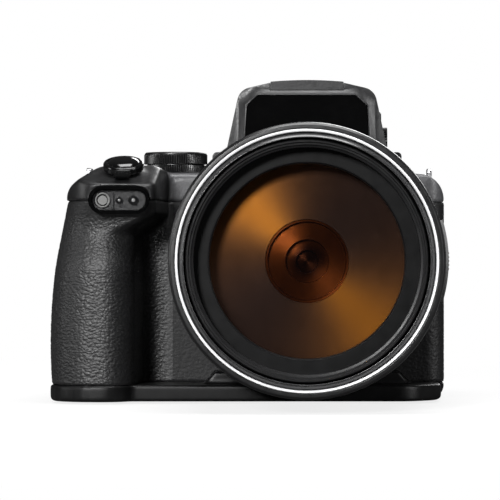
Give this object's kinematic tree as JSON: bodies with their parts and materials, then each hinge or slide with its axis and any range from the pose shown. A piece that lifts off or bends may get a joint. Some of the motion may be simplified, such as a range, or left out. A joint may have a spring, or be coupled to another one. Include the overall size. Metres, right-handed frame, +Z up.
{
  "type": "bridge camera",
  "caption": "Bridge camera with a telescoping superzoom lens, deep hand grip, viewfinder hump with pop-up flash, mode dial, ribbed control ring and swing-out rear monitor.",
  "frame": {"origin": "mouth of the tripod socket on the base plane, straight below the lens axis", "axes": "+Z up, the lens looks along -Y, +X towards the camera's left-hand side"},
  "size_m": [0.1464, 0.1813, 0.1182],
  "materials": {
    "shell_black": "fine-textured matte black",
    "crackle_paint": "dark grey crackle paint",
    "grip_rubber": "leather-grained black rubber",
    "leatherette": "leather-grained black skin",
    "gloss_panel": "polished black",
    "barrel_black": "satin black",
    "tube_black": "satin black",
    "ring_black": "matte black",
    "ribbed_ring": "ribbed black rubber",
    "bright_trim": "bright silver ring",
    "front_glass": "clear coated glass",
    "coated_glass": "amber anti-reflection coating",
    "inner_dark": "dark lens cell",
    "dial_black": "knurled satin black",
    "gloss_black": "polished black",
    "button_black": "satin black",
    "button_red": "satin dark red",
    "shoe_steel": "brushed steel",
    "socket_steel": "machined steel",
    "chassis_metal": "cast metal",
    "circuit_board": "green solder mask",
    "inner_plastic": "moulded black",
    "eyecup_rubber": "soft black rubber",
    "smoked_window": "smoked clear window",
    "screen_glass": "dark display cover"
  },
  "bodies": {
    "camera": {"front_shell": "shell_black", "grip_shell": "shell_black", "rear_shell": "shell_black", "top_cover": "crackle_paint", "hump_cover": "crackle_paint", "bottom_plate": "shell_black", "grip_rubber": "grip_rubber", "leather_panels": "leatherette", "thumb_rest": "grip_rubber", "name_panel": "gloss_panel", "chassis": "chassis_metal", "main_board": "circuit_board", "sensor_unit": "chassis_metal", "rear_lens_group": "ring_black", "zoom_motor": "chassis_metal", "port_block": "inner_plastic", "battery_pack": "inner_plastic", "evf_unit": "inner_plastic", "eyepiece_lens": "front_glass", "eyecup": "eyecup_rubber", "hot_shoe": "shoe_steel", "lens_base": "barrel_black", "fixed_barrel": "barrel_black", "trim_ring": "bright_trim", "strap_lugs": "shoe_steel", "lamp_bezel": "gloss_panel", "lamp_window": "smoked_window", "tripod_socket": "socket_steel", "case_screws": "socket_steel"},
    "lens_outer": {"lens_stage_1": "tube_black"},
    "lens_inner": {"lens_stage_2": "tube_black", "filter_ring": "ring_black", "front_retainer": "ring_black", "front_element": "front_glass", "coated_element": "coated_glass", "inner_cell": "inner_dark"},
    "control": {"control_ring": "ribbed_ring"},
    "side_lever": {"side_zoom_lever": "ribbed_ring"},
    "snap_back": {"snap_back_button": "button_black"},
    "shutter": {"shutter_button": "gloss_black"},
    "zoom": {"zoom_lever": "gloss_black"},
    "mode": {"mode_dial": "dial_black"},
    "command": {"command_dial": "dial_black"},
    "power": {"power_button": "button_black"},
    "fn": {"fn_button": "button_black"},
    "flash": {"flash_head": "crackle_paint", "flash_window": "smoked_window"},
    "flash_key": {"flash_button": "button_black"},
    "diopter": {"diopter_dial": "dial_black"},
    "monitor": {"monitor_arm": "shell_black", "monitor_case": "shell_black", "monitor_screen": "screen_glass"},
    "door": {"battery_door": "shell_black"},
    "ports": {"port_cover": "grip_rubber"},
    "selector": {"selector_ring": "button_black"},
    "ok": {"ok_button": "button_black"},
    "menu": {"menu_button": "button_black"},
    "delete": {"delete_button": "button_black"},
    "play": {"play_button": "button_black"},
    "record": {"record_button": "button_red"}
  },
  "joints": [
    {"name": "lens_extend_outer", "type": "slide", "parent": "camera", "child": "lens_outer", "axis": [0, -1, 0], "range_m": [0, 0.046]},
    {"name": "lens_extend_inner", "type": "slide", "parent": "lens_outer", "child": "lens_inner", "axis": [0, -1, 0], "range_m": [0, 0.046]},
    {"name": "control_ring_turn", "type": "hinge", "parent": "camera", "child": "control", "pos_m": [0, 0, 0.0518], "axis": [0, -1, 0], "continuous": true},
    {"name": "side_lever_rock", "type": "hinge", "parent": "camera", "child": "side_lever", "pos_m": [0, 0, 0.0518], "axis": [0, -1, 0], "range_deg": [-6, 6], "stiffness_Nm_per_rad": 0.2},
    {"name": "snap_back_press", "type": "slide", "parent": "camera", "child": "snap_back", "axis": [-0.788, 0, 0.6157], "range_m": [0, 0.0006], "stiffness_N_per_m": 300},
    {"name": "shutter_press", "type": "slide", "parent": "camera", "child": "shutter", "axis": [0, 0.3746, -0.9272], "range_m": [0, 0.0007], "stiffness_N_per_m": 300},
    {"name": "zoom_lever_rock", "type": "hinge", "parent": "camera", "child": "zoom", "pos_m": [-0.0668, -0.0445, 0.0839], "axis": [0, -0.3746, 0.9272], "range_deg": [-18, 18], "stiffness_Nm_per_rad": 0.02},
    {"name": "mode_dial_turn", "type": "hinge", "parent": "camera", "child": "mode", "pos_m": [-0.0498, 0, 0.0848], "axis": [0, 0, 1], "continuous": true},
    {"name": "command_dial_turn", "type": "hinge", "parent": "camera", "child": "command", "pos_m": [-0.074, 0.029, 0.0768], "axis": [0, 0, 1], "continuous": true},
    {"name": "power_press", "type": "slide", "parent": "camera", "child": "power", "axis": [0, 0, -1], "range_m": [0, 0.0006], "stiffness_N_per_m": 300},
    {"name": "fn_press", "type": "slide", "parent": "camera", "child": "fn", "axis": [0, 0, -1], "range_m": [0, 0.0006], "stiffness_N_per_m": 300},
    {"name": "flash_flip", "type": "hinge", "parent": "camera", "child": "flash", "pos_m": [0, -0.01, 0.1142], "axis": [-1, 0, 0], "range_deg": [0, 50]},
    {"name": "flash_button_press", "type": "slide", "parent": "camera", "child": "flash_key", "axis": [-1, 0, 0], "range_m": [0, 0.0004], "stiffness_N_per_m": 300},
    {"name": "diopter_turn", "type": "hinge", "parent": "camera", "child": "diopter", "pos_m": [0.0278, 0.03, 0.0988], "axis": [1, 0, 0], "range_deg": [-120, 120]},
    {"name": "monitor_swing", "type": "hinge", "parent": "camera", "child": "monitor", "pos_m": [0.0486, 0.0333, 0.0368], "axis": [0, 0, -1], "range_deg": [0, 180]},
    {"name": "battery_door_open", "type": "hinge", "parent": "camera", "child": "door", "pos_m": [-0.0647, -0.015, 0.002], "axis": [0, -1, 0], "range_deg": [0, 95]},
    {"name": "port_cover_open", "type": "hinge", "parent": "camera", "child": "ports", "pos_m": [0.0492, -0.0072, 0.0418], "axis": [0, 0, -1], "range_deg": [0, 100]},
    {"name": "selector_ring_turn", "type": "hinge", "parent": "camera", "child": "selector", "pos_m": [-0.062, 0.036, 0.034], "axis": [0, 1, 0], "continuous": true},
    {"name": "ok_press", "type": "slide", "parent": "camera", "child": "ok", "axis": [0, -1, 0], "range_m": [0, 0.0006], "stiffness_N_per_m": 300},
    {"name": "menu_press", "type": "slide", "parent": "camera", "child": "menu", "axis": [0, -1, 0], "range_m": [0, 0.0006], "stiffness_N_per_m": 300},
    {"name": "delete_press", "type": "slide", "parent": "camera", "child": "delete", "axis": [0, -1, 0], "range_m": [0, 0.0006], "stiffness_N_per_m": 300},
    {"name": "play_press", "type": "slide", "parent": "camera", "child": "play", "axis": [0, -1, 0], "range_m": [0, 0.0006], "stiffness_N_per_m": 300},
    {"name": "record_press", "type": "slide", "parent": "camera", "child": "record", "axis": [0, -1, 0], "range_m": [0, 0.0006], "stiffness_N_per_m": 300}
  ],
  "couplings": [
    {"joint": "lens_extend_inner", "follows": "lens_extend_outer", "ratio": 1}
  ]
}
